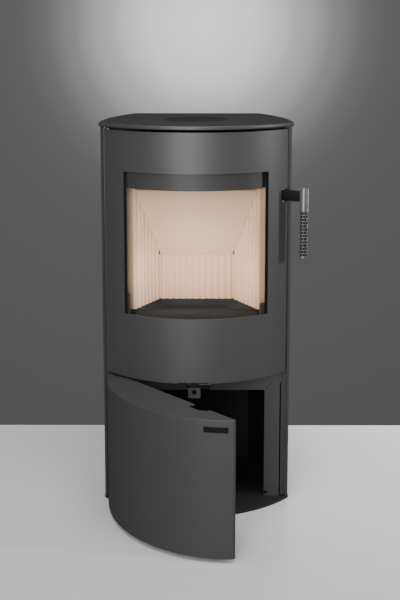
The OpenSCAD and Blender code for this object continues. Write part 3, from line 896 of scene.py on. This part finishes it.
# %% Place the back panel's screws
SCREW_RADIUS = 0.0045
HEAD_HIGH = 0.0025
LOWEST_SCREW = 0.030
SCREW_PITCH = 0.155
screw_low, screw_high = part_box("rear_panel_screws")
screw_places = [
    (side, screw_high.y - HEAD_HIGH / 2, LOWEST_SCREW + SCREW_PITCH * row)
    for side in (screw_low.x + SCREW_RADIUS, screw_high.x - SCREW_RADIUS)
    for row in range(7)
]
screws = scattered(cross_screw(SCREW_RADIUS, HEAD_HIGH), (0, 1, 0), screw_places)
finished(screws, "back_screws", "zinc", "root", ("rear_panel_screws",), 30)

# %% Place the frame's bolts
BOLT_RADIUS = 0.004
LEFT_AND_RIGHT_BOLTS = [(0.400, 0.405), (0.640, 0.640), (0.860, 0.860), (0.970, 0.970)]
bolt_low, bolt_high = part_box("frame_bolts")
bolt_y = (bolt_low.y + bolt_high.y) / 2
bolt_places = []
for left, right in LEFT_AND_RIGHT_BOLTS:
    bolt_places.append((bolt_low.x + BOLT_RADIUS, bolt_y, left))
    bolt_places.append((bolt_high.x - BOLT_RADIUS, bolt_y, right))
bolts = scattered(hex_bolt(BOLT_RADIUS, bolt_high.y - bolt_low.y), (0, -1, 0), bolt_places)
finished(bolts, "firebox_frame_bolts", "zinc", "root", ("frame_bolts",), 30)

# %% [markdown]
# ## Name plate, left blank
# A small black plate is riveted near the door's free edge. It carries nothing
# here. Its copy gets a softened rim, so it reads as enamelled metal.

# %% Name plate
plate = Finish("plate_enamel", Specular_IOR_Level=0.15)
dust = plate.noise(300, 3)
plate.feed(
    Base_Color=plate.blend(dust, grey(0.002), grey(0.004)),
    Roughness=0.45 + dust * 0.1,
    Normal=plate.bump(dust, 0.00002),
)
keep("plate_enamel", plate)
finish_of["badge_plate"] = "plate_enamel"
break_edges("badge_plate", 0.0004)

# %% [markdown]
# ## Floor and backdrop
# The stove stands on a plain pale floor that ends not far behind it. The floor
# is kept out of mirror images, because satin paint seen along its surface would
# mirror the pale floor and lose its own dark colour. The studio behind is the
# world's own colour: a soft glow straight behind the stove that fades outwards,
# and a sky that is a little lighter overhead.

# %% Floor
FLOOR_SIDE = 6.0
FLOOR_BACK = 0.52
FLOOR_DROP = 0.0005
floor_place = (0, FLOOR_BACK - FLOOR_SIDE / 2, -FLOOR_DROP)
floor = added(bpy.ops.mesh.primitive_plane_add, size=FLOOR_SIDE, location=floor_place)
floor.name = "studio_floor"
settle(floor)
pale = Finish("pale_floor", Specular_IOR_Level=0.4)
polish = pale.noise(4, 4, (0.4, 6, 1))
pale.feed(
    # Painted shade and light: the floor is painted darker towards the front and lighter towards the
    # stove.
    Base_Color=pale.blend(polish * 0.15 + pale.axis("Y") * 0.6 + 0.55, grey(0.34), grey(0.68)),
    Roughness=0.42 + (polish - 0.5) * 0.1,
)
floor.data.materials.append(pale.material)
floor.visible_glossy = False
print("floor:", FLOOR_SIDE, "metres a side")

# %% Studio behind
GLOW_AIM = Vector((0, 1, 0.01)).normalized()
GLOW_BY_ANGLE = [(22, 0.094), (13, 0.105), (9.5, 0.13), (7.5, 0.22), (5, 0.56), (0, 1.20)]
SKY_BY_HEIGHT = [(0.0, 0.0), (0.58, 0.0), (0.68, 0.10), (1.0, 0.22)]
world = bpy.data.worlds.new("studio")
bpy.context.scene.world = world
studio = Nodes(world, "Background")
look = studio.node("ShaderNodeTexCoord", output="Generated")
aimed = studio.node("ShaderNodeVectorMath", {"operation": "DOT_PRODUCT"}, {0: look, 1: GLOW_AIM}, "Value")
height = studio.node("ShaderNodeSeparateXYZ", {}, {0: look}, "Z") * 0.5 + 0.5
glow = studio.ramp(aimed, [(math.cos(math.radians(angle)), grey(v)) for angle, v in GLOW_BY_ANGLE])
sky = studio.ramp(height, [(rise, grey(v)) for rise, v in SKY_BY_HEIGHT])
studio.feed(Color=studio.node("ShaderNodeVectorMath", {"operation": "ADD"}, {0: glow, 1: sky}))
print("studio nodes:", len(studio.tree.nodes))

# %% [markdown]
# ## Soft studio light
# A tall soft box in front and a little to the left draws the broad upright
# gleam on the round doors. A narrow one on the right lights the handle and
# throws its shadow on the door, one overhead lights the floor and the flanges,
# one behind keeps the back readable, and a small one fills the firebox.


# %% Lamps
def soft_box(name, place, aim, size, power, tone=(1, 1, 1), seen=True):
    data = bpy.data.lights.new(name, "AREA")
    data.shape = "RECTANGLE"
    data.size = size[0]
    data.size_y = size[1]
    data.energy = power
    data.color = tone
    lamp = bpy.data.objects.new(name, data)
    lamp.location = place
    lamp.rotation_euler = (Vector(aim) - Vector(place)).to_track_quat("-Z", "Y").to_euler()
    lamp.visible_camera = seen
    bpy.context.collection.objects.link(lamp)
    print("lamp:", name, "watts:", power)


WARM_LIGHT = (1, 0.92, 0.84)
soft_box("key", (-0.38, -2.3, 1.10), aim=(-0.02, 0, 0.75), size=(1.10, 1.8), power=64)
soft_box("right_strip", (2.37, -0.68, 1.28), aim=(0.2, 0, 0.70), size=(0.14, 0.5), power=34)
soft_box("overhead", (0, -0.8, 3.0), aim=(0, -0.3, 0), size=(2.2, 1.2), power=72)
soft_box("rear_fill", (1.1, 2.8, 0.50), aim=(0, 0.3, 0.5), size=(1.8, 0.8), power=45, seen=False)
soft_box("firebox_lamp", (0, -0.035, 0.60), (0, 0.2, 0.645), (0.20, 0.08), 0.40, WARM_LIGHT, False)
